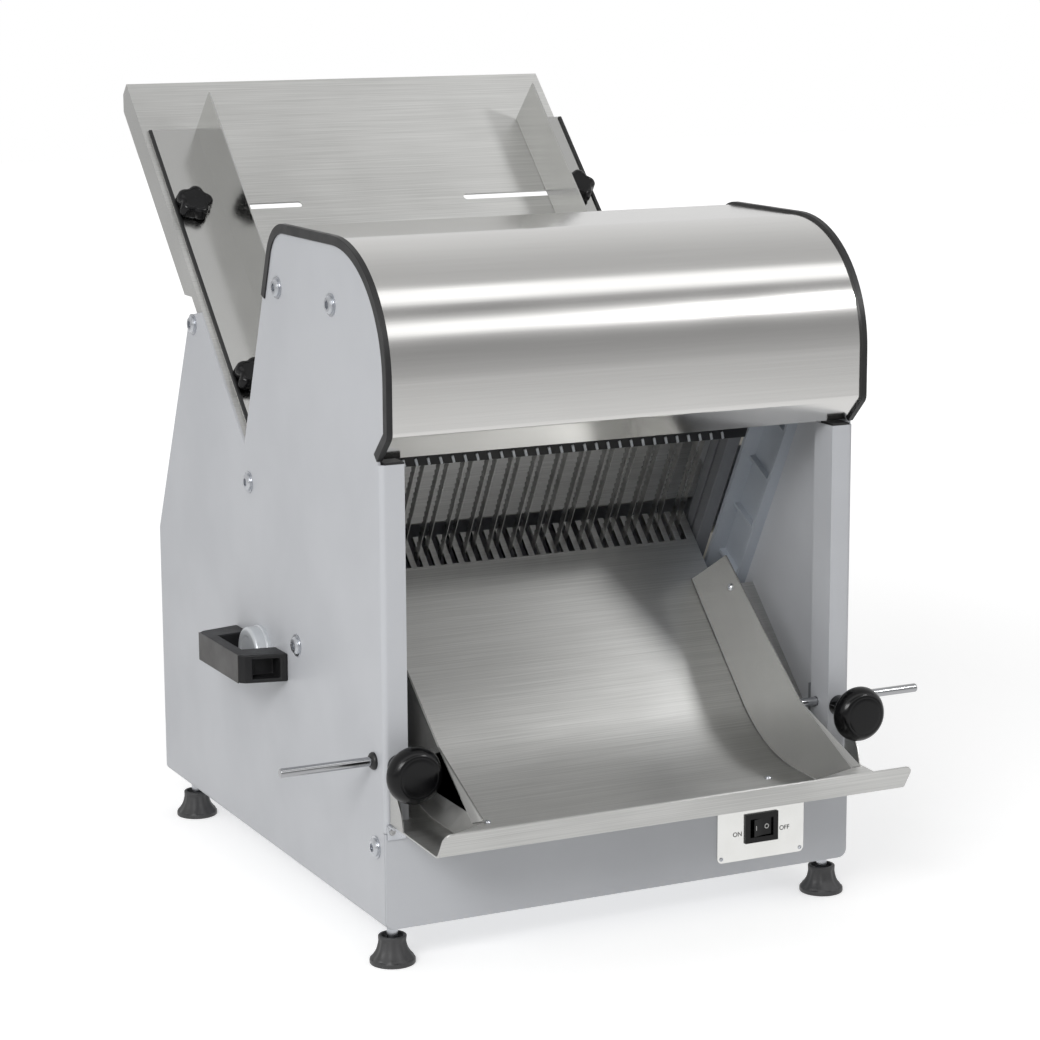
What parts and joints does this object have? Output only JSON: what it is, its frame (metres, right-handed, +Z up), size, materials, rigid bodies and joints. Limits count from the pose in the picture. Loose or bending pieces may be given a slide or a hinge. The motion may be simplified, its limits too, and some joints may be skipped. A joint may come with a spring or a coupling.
{
  "type": "bread slicer",
  "caption": "Bench bread slicer with a sloping loaf hopper, opposed saw-blade frames under a steel hood and a curved discharge chute between adjustable guides.",
  "frame": {"origin": "on the bench under the middle of the machine's outline", "axes": "+X to the machine's right seen from the front, +Y from the discharge chute to the hopper, +Z up"},
  "size_m": [0.632, 0.7538, 0.7242],
  "materials": {
    "panel_paint": "satin light grey",
    "polished_steel": "polished",
    "satin_steel": "satin, brushed across",
    "blade_steel": "bright spine",
    "chrome_rod": "polished",
    "zinc_steel": "zinc plated",
    "machined_steel": "turned",
    "rail_paint": "satin grey",
    "frame_paint": "satin grey",
    "iron": "cast",
    "motor_paint": "satin blue grey",
    "cap_metal": "satin",
    "nylon": "matte",
    "trim_rubber": "matte black",
    "foot_rubber": "matte dark grey",
    "black_plastic": "gloss black",
    "handle_plastic": "satin black",
    "plate_metal": "white anodised"
  },
  "bodies": {
    "machine": {"left_side_panel": "panel_paint", "right_side_panel": "panel_paint", "edge_trims": "trim_rubber", "hood": "polished_steel", "post_seals": "trim_rubber", "front_panel": "panel_paint", "base_plate": "zinc_steel", "rear_cover": "panel_paint", "hopper_tray": "satin_steel", "discharge_chute": "satin_steel", "blade_comb": "satin_steel", "left_blade_rail": "rail_paint", "right_blade_rail": "rail_paint", "tie_bars": "machined_steel", "panel_bolts": "zinc_steel", "shaft_bearings": "machined_steel", "bearing_caps": "cap_metal", "crank_stand": "frame_paint", "drive_belt": "trim_rubber", "motor": "motor_paint", "rod_clamps": "frame_paint", "left_handle": "handle_plastic", "right_handle": "handle_plastic", "switch_plate": "plate_metal", "switch_body": "black_plastic", "cable_gland": "black_plastic"},
    "front_frame": {"front_blade_frame": "frame_paint", "front_blades": "blade_steel", "front_frame_shoes": "nylon"},
    "rear_frame": {"rear_blade_frame": "frame_paint", "rear_blades": "blade_steel", "rear_frame_shoes": "nylon"},
    "rocker": {"rocker_shaft": "machined_steel", "rocker_arms": "iron", "drive_arm": "iron"},
    "crank": {"crankshaft": "machined_steel", "crank_pulley": "iron"},
    "conrod": {"connecting_rod": "machined_steel"},
    "motor_rotor": {"motor_shaft": "machined_steel", "motor_pulley": "iron"},
    "left_chute_fence": {"left_chute_guide": "satin_steel", "left_guide_rod": "chrome_rod"},
    "right_chute_fence": {"right_chute_guide": "satin_steel", "right_guide_rod": "chrome_rod"},
    "left_clamp": {"left_clamp_knob": "black_plastic"},
    "right_clamp": {"right_clamp_knob": "black_plastic"},
    "left_loaf_guide": {"left_hopper_guide": "satin_steel", "left_guide_nuts": "zinc_steel"},
    "right_loaf_guide": {"right_hopper_guide": "satin_steel", "right_guide_nuts": "zinc_steel"},
    "upper_left_star": {"upper_left_star_knob": "black_plastic"},
    "lower_left_star": {"lower_left_star_knob": "black_plastic"},
    "upper_right_star": {"upper_right_star_knob": "black_plastic"},
    "lower_right_star": {"lower_right_star_knob": "black_plastic"},
    "power_rocker": {"switch_rocker": "black_plastic"},
    "foot_fl": {"front_left_foot": "foot_rubber"},
    "foot_fr": {"front_right_foot": "foot_rubber"},
    "foot_rl": {"rear_left_foot": "foot_rubber"},
    "foot_rr": {"rear_right_foot": "foot_rubber"}
  },
  "joints": [
    {"name": "rocker_swing", "type": "hinge", "parent": "machine", "child": "rocker", "pos_m": [0, 0.01653, 0.219], "axis": [1, 0, 0], "range_deg": [-13.8, 13.8]},
    {"name": "front_frame_slide", "type": "slide", "parent": "machine", "child": "front_frame", "axis": [0, -0.4848, 0.8746], "range_m": [-0.0145, 0.0145]},
    {"name": "rear_frame_slide", "type": "slide", "parent": "machine", "child": "rear_frame", "axis": [0, -0.4848, 0.8746], "range_m": [-0.0145, 0.0145]},
    {"name": "crank_spin", "type": "hinge", "parent": "machine", "child": "crank", "pos_m": [0, 0.13053, 0.157], "axis": [1, 0, 0], "continuous": true},
    {"name": "conrod_spin", "type": "hinge", "parent": "crank", "child": "conrod", "pos_m": [0, 0.13053, 0.14], "axis": [1, 0, 0], "continuous": true},
    {"name": "motor_spin", "type": "hinge", "parent": "machine", "child": "motor_rotor", "pos_m": [0, 0.22753, 0.103], "axis": [1, 0, 0], "continuous": true},
    {"name": "left_fence_slide", "type": "slide", "parent": "machine", "child": "left_chute_fence", "axis": [1, 0, 0], "range_m": [0, 0.08]},
    {"name": "right_fence_slide", "type": "slide", "parent": "machine", "child": "right_chute_fence", "axis": [-1, 0, 0], "range_m": [-0.024, 0.08]},
    {"name": "left_clamp_turn", "type": "hinge", "parent": "machine", "child": "left_clamp", "pos_m": [-0.218, -0.27447, 0.181], "axis": [0, -1, 0], "range_deg": [-90, 180]},
    {"name": "right_clamp_turn", "type": "hinge", "parent": "machine", "child": "right_clamp", "pos_m": [0.218, -0.27447, 0.181], "axis": [0, -1, 0], "range_deg": [-90, 180]},
    {"name": "left_loaf_guide_slide", "type": "slide", "parent": "machine", "child": "left_loaf_guide", "axis": [1, 0, 0], "range_m": [-0.012, 0.111]},
    {"name": "right_loaf_guide_slide", "type": "slide", "parent": "machine", "child": "right_loaf_guide", "axis": [-1, 0, 0], "range_m": [0, 0.123]},
    {"name": "upper_left_star_turn", "type": "hinge", "parent": "left_loaf_guide", "child": "upper_left_star", "pos_m": [-0.203, 0.24323, 0.61535], "axis": [0, -0.7071, 0.7071], "range_deg": [-90, 180]},
    {"name": "lower_left_star_turn", "type": "hinge", "parent": "left_loaf_guide", "child": "lower_left_star", "pos_m": [-0.203, 0.09403, 0.46614], "axis": [0, -0.7071, 0.7071], "range_deg": [-90, 180]},
    {"name": "upper_right_star_turn", "type": "hinge", "parent": "right_loaf_guide", "child": "upper_right_star", "pos_m": [0.215, 0.24323, 0.61535], "axis": [0, -0.7071, 0.7071], "range_deg": [-90, 180]},
    {"name": "lower_right_star_turn", "type": "hinge", "parent": "right_loaf_guide", "child": "lower_right_star", "pos_m": [0.215, 0.09403, 0.46614], "axis": [0, -0.7071, 0.7071], "range_deg": [-90, 180]},
    {"name": "power_rocker_tip", "type": "hinge", "parent": "machine", "child": "power_rocker", "pos_m": [0.138, -0.25847, 0.0775], "axis": [0, 0, 1], "range_deg": [-18, 0]},
    {"name": "foot_fl_turn", "type": "hinge", "parent": "machine", "child": "foot_fl", "pos_m": [-0.216, -0.24447, 0.026], "axis": [0, 0, 1], "continuous": true},
    {"name": "foot_fr_turn", "type": "hinge", "parent": "machine", "child": "foot_fr", "pos_m": [0.216, -0.24447, 0.026], "axis": [0, 0, 1], "continuous": true},
    {"name": "foot_rl_turn", "type": "hinge", "parent": "machine", "child": "foot_rl", "pos_m": [-0.216, 0.24653, 0.026], "axis": [0, 0, 1], "continuous": true},
    {"name": "foot_rr_turn", "type": "hinge", "parent": "machine", "child": "foot_rr", "pos_m": [0.216, 0.24653, 0.026], "axis": [0, 0, 1], "continuous": true}
  ],
  "couplings": [
    {"joint": "front_frame_slide", "follows": "rocker_swing", "m_per_rad": -0.06},
    {"joint": "rear_frame_slide", "follows": "rocker_swing", "m_per_rad": 0.06},
    {"joint": "conrod_spin", "follows": "crank_spin", "ratio": -1},
    {"joint": "motor_spin", "follows": "crank_spin", "ratio": 3}
  ]
}
